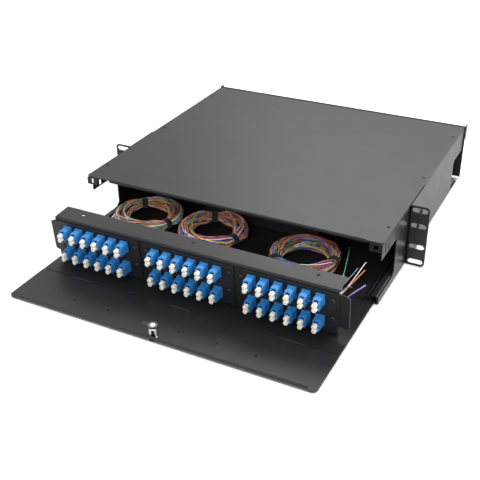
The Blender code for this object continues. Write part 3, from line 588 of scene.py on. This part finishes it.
def lathe(profile, place=None, sides=32):
    """Turns a profile about Z. One that starts and ends on the axis makes a closed body."""
    maker = bmesh.new()
    place = place or Matrix.Identity(4)
    angles = [WHOLE * i / sides for i in range(sides)]
    rings = []
    for radius, height in profile:
        if radius < ON_AXIS:
            rings.append([maker.verts.new(place @ Vector((0.0, 0.0, height)))])
        else:
            rings.append([maker.verts.new(place @ round_point(radius, angle, height)) for angle in angles])
    for lower, upper in zip(rings, rings[1:]):
        for i in range(sides):
            j = (i + 1) % sides
            below = (lower[i % len(lower)], lower[j % len(lower)])
            above = (upper[j % len(upper)], upper[i % len(upper)])
            maker.faces.new(list(dict.fromkeys((*below, *above))))
    return maker


def hollow_lathe(profile, place=None, sides=32):
    """Turns a profile that comes back to its first point, for a body with a hole through it."""
    maker = lathe(profile, place, sides)
    bmesh.ops.remove_doubles(maker, verts=maker.verts, dist=JOIN_GAP)
    return maker


def solid(name, start, adds=(), cuts=()):
    """One closed mesh from bmeshes in millimetres: the start, joined with some and cut by others."""
    base = new_piece(name, start)
    helpers = []
    for makers, operation in ((adds, "UNION"), (cuts, "DIFFERENCE")):
        for maker in makers:
            helper = new_piece(f"{name}_helper", maker)
            helpers.append(helper)
            step = base.modifiers.new("combine", "BOOLEAN")
            step.operation = operation
            step.solver = "EXACT"
            step.object = helper
    bpy.context.view_layer.update()
    graph = bpy.context.evaluated_depsgraph_get()
    mesh = bpy.data.meshes.new_from_object(base.evaluated_get(graph))
    base.modifiers.clear()
    base.data = mesh
    mesh.name = name
    for helper in helpers:
        bpy.data.objects.remove(helper)
    return base


def add_tube(maker, points, radius, closed=False, material=0, sides=6):
    """A round strand along a list of points."""
    count = len(points)
    across = None
    rings = []
    for i, point in enumerate(points):
        after = points[(i + 1) % count] if closed or i + 1 < count else point
        before = points[i - 1] if closed or i else point
        along = (after - before).normalized()
        if across is None:
            across = along.cross(UPWARD)
            if across.length < NEARLY_UPRIGHT:
                across = along.cross(SIDEWAYS)
        across = (across - along * across.dot(along)).normalized()
        over = along.cross(across)
        ring = []
        for j in range(sides):
            angle = WHOLE * j / sides
            outward = across * math.cos(angle) + over * math.sin(angle)
            ring.append(maker.verts.new(point + outward * radius))
        rings.append(ring)
    pairs = list(zip(rings, rings[1:]))
    if closed:
        pairs.append((rings[-1], rings[0]))
    for lower, upper in pairs:
        for j in range(sides):
            k = (j + 1) % sides
            face = maker.faces.new((lower[j], lower[k], upper[k], upper[j]))
            face.material_index = material
            face.smooth = True
    if not closed:
        maker.faces.new(rings[0][::-1]).material_index = material
        maker.faces.new(rings[-1]).material_index = material


def smooth_path(points, steps=10):
    """A Catmull-Rom curve through the points."""
    points = [Vector(p) for p in points]
    ends = [points[0] * 2 - points[1], *points, points[-1] * 2 - points[-2]]
    path = []
    for a, b, c, d in zip(ends, ends[1:], ends[2:], ends[3:]):
        slope = c - a
        bend = 2 * a - 5 * b + 4 * c - d
        twist = 3 * b - a - 3 * c + d
        for i in range(steps):
            t = i / steps
            path.append(0.5 * (2 * b + slope * t + bend * t**2 + twist * t**3))
    path.append(points[-1])
    return path


def nodes_named(start):
    return sorted(name for name in NODES if name.startswith(start))


# Steel parts


def dress_case(coat, ear_coat_with_painted_shade, zinc):
    """Powder coat on the folded sheets and rails, with painted shade on the ears' upward faces, and zinc on
    the hinge pins.
    """
    for width, names in COATED_NODES:
        dress(names, coat, width)
    dress(WIDE_SHEETS, coat, WIDE_SHEET_EDGE, clamped=True)
    dress(RACK_EARS, ear_coat_with_painted_shade, RACK_EAR_EDGE)
    for name in nodes_named("hinge_pin_"):
        paint(NODES[name], zinc)


def screw_model(name, kind, material):
    """A screw or rivet, cut by the two blades of its cross recess."""
    top = kind["profile"][-1][1]
    reach = (-kind["recess_reach"], kind["recess_reach"])
    breadth = (-kind["recess_width"] / 2, kind["recess_width"] / 2)
    heights = (top - RECESS_DEPTH, top + RECESS_DEPTH)
    blades = [block(reach, breadth, heights), block(breadth, reach, heights)]
    model = solid(name, lathe(kind["profile"]), cuts=blades)
    paint(model, material)
    round_edges(model, kind["edge"], segments=1)
    return model


def cover_screws(steel):
    """Countersunk screws, flush with the cover."""
    model = screw_model("cover_screw_model", COVER_SCREW, steel)
    for name in nodes_named("cover_screw_"):
        low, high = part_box(name)
        at = Vector(((low.x + high.x) / 2, (low.y + high.y) / 2, high.z))
        put(another(f"{name}_head", model, Matrix.Translation(at)), "chassis", "dark_steel", name)
    bpy.data.objects.remove(model)


def ear_screws(steel):
    """Pan-headed screws through the ears' side legs."""
    model = screw_model("ear_screw_model", EAR_SCREW, steel)
    for name in nodes_named("ear_screw_"):
        low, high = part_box(name)
        side = 1 if low.x > 0 else -1
        face = high.x if side > 0 else low.x
        at = Vector((face - side * EAR_HEAD_HEIGHT * MM, (low.y + high.y) / 2, (low.z + high.z) / 2))
        turn = Matrix.Translation(at) @ Matrix.Rotation(side * QUARTER, 4, "Y")
        put(another(f"{name}_head", model, turn), "chassis", "dark_steel", name)
    bpy.data.objects.remove(model)


def grommets(material):
    """Blind rubber grommets with rings moulded in the membrane."""
    for name in nodes_named("rear_grommet_"):
        low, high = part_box(name)
        at = Vector(((low.x + high.x) / 2, high.y - GROMMET_INSET * MM, (low.z + high.z) / 2)) / MM
        place = Matrix.Translation(at) @ Matrix.Rotation(-QUARTER, 4, "X")
        moulding = lathe(GROMMET_PROFILE, place, GROMMET_SIDES)
        piece = new_piece(f"{name}_moulding", moulding, material)
        round_edges(piece, GROMMET_EDGE)
        put(piece, "chassis", "rubber", name)


# Lock


def barrel_profile(top):
    """From the bezel outside the door up the thread, and back down the bore."""
    profile = [
        (BARREL_BORE, BEZEL_LOW),
        (BEZEL_RADIUS - BEZEL_CHAMFER, BEZEL_LOW),
        (BEZEL_RADIUS, BEZEL_LOW + BEZEL_CHAMFER),
        (BEZEL_RADIUS, BEZEL_HIGH),
        (BARREL_RADIUS, BEZEL_HIGH),
        (BARREL_RADIUS, THREAD_LOW),
    ]
    for i in range(int((top - THREAD_LOW - THREAD_END) / THREAD_PITCH)):
        start = THREAD_LOW + THREAD_PITCH * i
        profile.append((BARREL_RADIUS - THREAD_DEPTH, start + THREAD_PITCH * THREAD_ROOT))
        profile.append((BARREL_RADIUS, start + THREAD_PITCH * THREAD_CREST))
    return [*profile, (BARREL_RADIUS - BARREL_CHAMFER, top), (BARREL_BORE, top), (BARREL_BORE, BEZEL_LOW)]


def lock_barrel(bright, dark):
    """The threaded barrel with its bezel: flat front and back, the front flat dark below a bright collar."""
    low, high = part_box("lock_barrel")
    at = Vector(((low.x + high.x) / 2, (low.y + high.y) / 2, 0.0)) / MM
    top = high.z / MM
    maker = hollow_lathe(barrel_profile(top), sides=BARREL_SIDES)
    for vertex in maker.verts:
        if vertex.co.z > FLAT_LOW:
            vertex.co.y = max(-BARREL_FLAT, min(BARREL_FLAT, vertex.co.y))
    for face in maker.faces:
        if all(v.co.y < ON_FLAT - BARREL_FLAT and v.co.z < top - BARREL_COLLAR for v in face.verts):
            face.material_index = 1
    maker.transform(Matrix.Translation(at) @ Matrix.Rotation(BARREL_TURN, 4, "Z"))
    piece = new_piece("lock_barrel_threaded", maker, bright, dark)
    round_edges(piece, BARREL_EDGE)
    put(piece, "front_door", "chrome", "lock_barrel")


def dome_profile(radius, rise, steps=8):
    angles = [QUARTER * i / steps for i in range(1, steps)]
    curve = [(radius * math.cos(angle), rise * math.sin(angle)) for angle in angles]
    return [(0.0, 0.0), (radius, 0.0), *curve, (0.0, rise)]


CAM_SCREW = {
    "profile": dome_profile(radius=3.8, rise=2.2),
    "recess_reach": 1.9,
    "recess_width": 0.8,
    "edge": 0.08,
}


def cam_fixings(bright, grey_steel):
    """The domed screw on the cam, and the washer under it."""
    low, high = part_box("cam_screw")
    at = Vector(((low.x + high.x) / 2, (low.y + high.y) / 2, low.z))
    washer = hollow_lathe(WASHER_PROFILE, Matrix.Translation(at / MM))
    put(new_piece("cam_washer", washer, grey_steel), "lock", "zinc_steel")
    screw = screw_model("cam_screw_head", CAM_SCREW, bright)
    screw.matrix_world = Matrix.Translation(at)
    put(screw, "lock", "chrome", "cam_screw")


def lock(bright, grey_steel, dark, coat):
    lock_barrel(bright, dark)
    dress(("lock_plug",), bright, LOCK_PLUG_EDGE)
    dress(("lock_cam",), coat, LOCK_CAM_EDGE)
    cam_fixings(bright, grey_steel)


# Adapters, caps and rivets


def panel_turn(at):
    """The place of a piece drawn in the panel's frame, from a point in metres."""
    return Matrix.Translation(at) @ Matrix.Rotation(LEAN, 4, "X")


def adapter_model(plastic):
    """A duplex adapter about its own centre, with ribs and a notch on each side and ports at both ends."""
    adds = [block(*ADAPTER_NOSE), block(*ADAPTER_FLANGE), block(*ADAPTER_KEY)]
    for across in both_sides(RIB_ACROSS):
        for level in RIB_LEVELS:
            adds.append(block(across, RIB_ALONG, level))
    cuts = []
    for level in PORT_LEVELS:
        for end in PORT_ENDS:
            cuts.append(block(PORT_ACROSS, end, level))
    cuts.append(block(*LATCH_WINDOW))
    for across in both_sides(NOTCH_ACROSS):
        cuts.append(block(across, NOTCH_ALONG, NOTCH_UP))
    model = solid("adapter_model", block(*ADAPTER_BODY), adds, cuts)
    paint(model, plastic)
    round_edges(model, ADAPTER_EDGE)
    return model


def adapter_clip_model(metal):
    """The spring clip round an adapter: a leaf on each side, and a strip above and below."""
    maker = bmesh.new()
    for leaf, strip in zip(both_sides(CLIP_LEAF_ACROSS), both_sides(CLIP_STRIP_UP)):
        add_block(maker, leaf, CLIP_LEAF_ALONG, CLIP_LEAF_UP)
        add_block(maker, CLIP_STRIP_ACROSS, CLIP_STRIP_ALONG, strip)
    model = new_piece("adapter_clip_model", maker, metal)
    round_edges(model, CLIP_EDGE, segments=1)
    return model


def cap_model(plastic):
    """A duplex dust cap: two stacked round nubs with a dimple each, on a thin bridge."""
    nubs = []
    for level in CAP_LEVELS:
        place = Matrix.Translation((0.0, 0.0, level)) @ Matrix.Rotation(QUARTER, 4, "X")
        nubs.append(lathe(CAP_PROFILE, place, CAP_SIDES))
    model = solid("cap_model", nubs[0], [nubs[1], block(*CAP_BRIDGE)])
    paint(model, plastic)
    round_edges(model, CAP_EDGE, segments=1)
    return model


def places_in_row(node):
    """The centres of a row's adapters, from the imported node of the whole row."""
    low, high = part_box(node)
    middle = (low + high) / 2
    pitch = (high.x - low.x - ADAPTER_FLANGE_WIDTH * MM) / (ADAPTERS_PER_ROW - 1)
    steps = [i - (ADAPTERS_PER_ROW - 1) / 2 for i in range(ADAPTERS_PER_ROW)]
    return [middle + Vector((step * pitch, 0.0, 0.0)) for step in steps]


def adapters(plastic, metal, cap_plastic):
    """Each plate's two rows of adapters, with their clips and dust caps."""
    model = adapter_model(plastic)
    clip_model = adapter_clip_model(metal)
    cap = cap_model(cap_plastic)
    front = Matrix.Translation((0.0, -CAP_FRONT * MM, 0.0))
    dice = random.Random(CAP_SEED)
    for plate in PLATES:
        for row in ROWS:
            node, cap_node = f"adapters_{plate}_{row}", f"dust_caps_{plate}_{row}"
            for i, at in enumerate(places_in_row(node)):
                turn = panel_turn(at)
                name = f"{plate}_{row}_{i + 1}"
                put(another(f"adapter_{name}", model, turn), "drawer", "blue_plastic", node)
                put(another(f"adapter_clip_{name}", clip_model, turn), "drawer", "zinc_steel")
                tilt = Matrix.Rotation(math.radians(dice.uniform(-CAP_TILT, CAP_TILT)), 4, "X")
                swing = Matrix.Rotation(math.radians(dice.uniform(-CAP_SWING, CAP_SWING)), 4, "Z")
                cap_piece = another(f"dust_cap_{name}", cap, turn @ front @ swing @ tilt)
                put(cap_piece, "drawer", "cream_plastic", cap_node)
    for extra in (model, clip_model, cap):
        bpy.data.objects.remove(extra)


def rivets(plastic):
    """Push rivets with a cross in the head: two on each plate's upper row and two on its lower row."""
    model = screw_model("rivet_model", PUSH_RIVET, plastic)
    seat = Matrix.Translation((0.0, -RIVET_OUT * MM, 0.0)) @ Matrix.Rotation(QUARTER, 4, "X")
    down = Matrix.Translation((0.0, 0.0, -RIVET_DROP * MM))
    for node in nodes_named("push_rivet_"):
        low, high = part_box(node)
        upper = panel_turn((low + high) / 2)
        put(another(f"{node}_head", model, upper @ seat), "drawer", "black_plastic", node)
        put(another(f"{node}_lower", model, upper @ down @ seat), "drawer", "black_plastic")
    bpy.data.objects.remove(model)


# Fibre


def share_left(ties, angle):
    """The share of a coil's thickness that its ties leave at an angle round it."""
    left = 1.0
    for tie in ties:
        away = (angle - tie + math.pi) % WHOLE - math.pi
        left -= TIE_SQUEEZE * math.exp(-((away / TIE_SPREAD) ** 2))
    return left


def loop_points(dice, centre, major, half_height, ties):
    """One fibre's loop round the coil, at its own place in the bundle and with its own ripples."""
    share = math.sqrt(dice.uniform(LEAST_SHARE**2, 1.0))
    start = dice.uniform(0, WHOLE)
    twist = dice.choice(TWISTS)
    waves = []
    for _ in range(WAVES_PER_LOOP):
        waves.append((dice.randint(*WAVE_COUNTS), dice.uniform(0, WHOLE), dice.uniform(*WAVE_SIZES)))
    points = []
    for i in range(LOOP_STEPS):
        angle = WHOLE * i / LOOP_STEPS
        squeeze = share_left(ties, angle)
        ripple = sum(size * math.sin(count * angle + phase) for count, phase, size in waves)
        spin = start + twist * angle
        aside = (share * math.cos(spin) * (COIL_MINOR - COIL_SIDE_ROOM) + ripple) * squeeze
        above = (share * math.sin(spin) * (half_height - COIL_TOP_ROOM) + WAVE_LIFT * ripple) * squeeze
        above = max(above, STRAND_RADIUS - half_height)
        points.append(centre + round_point(major + aside, angle, above))
    return points


def coil(name, jackets, fabric):
    """Many loops of coloured fibre, held together by two ties."""
    node = f"fibre_coil_{name}"
    low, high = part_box(node)
    centre = (low + high) / 2 / MM
    major = (high.x - low.x) / 2 / MM - COIL_MINOR
    half_height = (high.z - low.z) / 2 / MM
    ties = [math.radians(angle) for angle in TIE_ANGLES[name]]
    dice = random.Random(name)
    maker = bmesh.new()
    for _ in range(STRANDS_PER_COIL):
        points = loop_points(dice, centre, major, half_height, ties)
        colour = dice.choices(range(len(jackets)), JACKET_SHARES)[0]
        add_tube(maker, points, STRAND_RADIUS, closed=True, material=colour)
    put(new_piece(f"fibre_loops_{name}", maker, *jackets), "drawer", "fibre_jacket", node)
    for i, tie in enumerate(ties):
        put(tie_band(f"fibre_tie_{name}_{i + 1}", centre, major, tie, fabric), "drawer", "black_plastic")


def tie_band(name, centre, major, angle, fabric):
    """A soft band round the bundle."""
    out = round_point(1.0, angle)
    along = Vector((-out.y, out.x, 0.0))
    middle = centre + out * major
    maker = bmesh.new()
    rings = []
    for i in range(BAND_STEPS):
        turn = WHOLE * i / BAND_STEPS
        ring = []
        for thick, wide in BAND_SECTION:
            reach_out, reach_up = (reach + thick * BAND_THICKNESS for reach in BAND_REACH)
            point = middle + out * reach_out * math.cos(turn) + UPWARD * reach_up * math.sin(turn)
            ring.append(maker.verts.new(point + along * wide * BAND_WIDTH))
        rings.append(ring)
    corners = len(BAND_SECTION)
    for here, there in zip(rings, [*rings[1:], rings[0]]):
        for j in range(corners):
            k = (j + 1) % corners
            maker.faces.new((here[j], here[k], there[k], there[j]))
    piece = new_piece(name, maker, fabric)
    round_edges(piece, BAND_EDGE)
    return piece


def strand(name, points, material, radius):
    maker = bmesh.new()
    add_tube(maker, smooth_path(points), radius, sides=STRAND_SIDES)
    put(new_piece(name, maker, material), "drawer", "fibre_jacket")


def loose_fibres(jackets):
    """Free ends at the panel's right end, and the strands that feed the left coil."""
    by_colour = dict(zip(JACKET_COLOURS, jackets))
    for colour, points in LOOSE_FIBRES.items():
        radius = THICK_RADIUS if colour == "violet" else LOOSE_RADIUS
        strand(f"loose_fibre_{colour}", points, by_colour[colour], radius)
    for colour, points in LEFT_FEEDERS.items():
        strand(f"feeder_fibre_{colour}", points, by_colour[colour], STRAND_RADIUS)


def sleeves(plastic):
    """Short white heat-shrink sleeves over fibre ends."""
    for side, (start, end) in SLEEVES.items():
        way = Vector(end) - Vector(start)
        place = Matrix.Translation(start) @ way.to_track_quat("Z", "Y").to_matrix().to_4x4()
        piece = new_piece(f"fibre_sleeve_{side}", lathe(SLEEVE_PROFILE, place, SLEEVE_SIDES), plastic)
        piece.data.shade_smooth()
        put(piece, "drawer", "cream_plastic")


# Stage, lights and camera


def add_floor():
    ends = (-FLOOR_REACH, FLOOR_REACH)
    maker = bmesh.new()
    left, right = ([maker.verts.new((x, y, -FLOOR_DROP)) for y in ends] for x in ends)
    maker.faces.new((left[0], right[0], right[1], left[1]))
    floor = new_piece("floor", maker, floor_paint())
    return floor


def add_sky():
    """Light from all round, brightest half way up and dimmer towards the floor and overhead."""
    world = bpy.data.worlds.new("studio")
    world.use_nodes = True
    nodes, links = world.node_tree.nodes, world.node_tree.links
    background = nodes["Background"]
    background.inputs["Strength"].default_value = SKY_STRENGTH
    way = nodes.new("ShaderNodeTexCoord")
    parts = nodes.new("ShaderNodeSeparateXYZ")
    ramp = nodes.new("ShaderNodeValToRGB")
    ramp.color_ramp.elements.new(SKY_STOPS[1][0])
    for stop, (height, brightness) in zip(ramp.color_ramp.elements, SKY_STOPS):
        stop.position = height
        stop.color = (*grey(brightness), 1.0)
    links.new(way.outputs["Generated"], parts.inputs["Vector"])
    links.new(parts.outputs["Z"], ramp.inputs["Fac"])
    links.new(ramp.outputs["Color"], background.inputs["Color"])
    bpy.context.scene.world = world


def light_only(lamp, pieces):
    """Keeps a lamp's light to some pieces."""
    lit = bpy.data.collections.new(f"lit_by_{lamp.name}")
    for piece in pieces:
        lit.objects.link(piece)
    lamp.light_linking.receiver_collection = lit


def floor_wash(floor):
    """Light from straight above on the floor alone, so that the floor stays white beside the part."""
    data = bpy.data.lights.new("floor_wash", "SUN")
    data.energy = FLOOR_WASH_STRENGTH
    data.angle = FLOOR_WASH_ANGLE
    light_only(add_object("floor_wash", data), [floor])


def soft_light(name, at, aim, size, power):
    data = bpy.data.lights.new(name, "AREA")
    data.shape = "SQUARE"
    data.size = size
    data.energy = power
    lamp = add_object(name, data)
    lamp.location = at
    lamp.rotation_mode = "QUATERNION"
    lamp.rotation_quaternion = (Vector(aim) - Vector(at)).to_track_quat("-Z", "Y")
    lamp.visible_camera = False
    return lamp


def lights():
    """The soft lamps, of which one lights the fibres alone."""
    lamps = {name: soft_light(name, *values) for name, values in LAMPS.items()}
    pieces = bpy.context.scene.collection.all_objects
    light_only(lamps["fibre"], [piece for piece in pieces if piece.name.startswith(FIBRE_NAMES)])


def camera():
    """The photograph's camera."""
    level = round_point(math.cos(CAMERA_TILT), CAMERA_TURN - QUARTER)
    back = Vector((level.x, level.y, math.sin(CAMERA_TILT)))
    right = round_point(1.0, CAMERA_TURN)
    up = back.cross(right)
    rolled_right = right * math.cos(CAMERA_ROLL) + up * math.sin(CAMERA_ROLL)
    rolled_up = up * math.cos(CAMERA_ROLL) - right * math.sin(CAMERA_ROLL)
    data = bpy.data.cameras.new("camera")
    data.lens = CAMERA_LENS
    data.sensor_width = SENSOR
    made = add_object("camera", data)
    turn = Matrix((rolled_right, rolled_up, back)).transposed().to_4x4()
    made.matrix_world = Matrix.Translation(CAMERA_AT) @ turn
    bpy.context.scene.camera = made


def main():
    coat = powder_coat("powder_coat_black")
    # The ears' copy of the powder coat carries painted shade on its upward faces
    ear_coat_with_painted_shade = powder_coat("powder_coat_ears")
    paint_shade_on_upward_faces(ear_coat_with_painted_shade)
    zinc = plated_steel()
    bright = chrome()
    dark = dark_steel("black_oxide", shade=0.03)
    grey_steel = dark_steel("grey_oxide", shade=0.12)
    blue = moulded_plastic("adapter_blue", (0.035, 0.235, 0.58), roughness=0.36, spread=0.08)
    cream = moulded_plastic("cap_cream", (0.80, 0.78, 0.70), roughness=0.42, spread=0.04)
    black = moulded_plastic("black_nylon", (0.018, 0.018, 0.019), roughness=0.45, spread=0.15)
    jackets = [jacket(name, colour) for name, colour in JACKET_COLOURS.items()]
    fabric = tie_fabric()
    dress_case(coat, ear_coat_with_painted_shade, zinc)
    cover_screws(dark)
    ear_screws(dark)
    grommets(rubber())
    lock(bright, grey_steel, dark, coat)
    adapters(blue, zinc, cream)
    rivets(black)
    for name in PLATES:
        coil(name, jackets, fabric)
    loose_fibres(jackets)
    sleeves(cream)
    dress(SPLICE_PARTS, black, SPLICE_EDGE)
    floor_wash(add_floor())
    add_sky()
    lights()
    camera()
    bpy.context.scene.view_settings.view_transform = "Standard"


main()
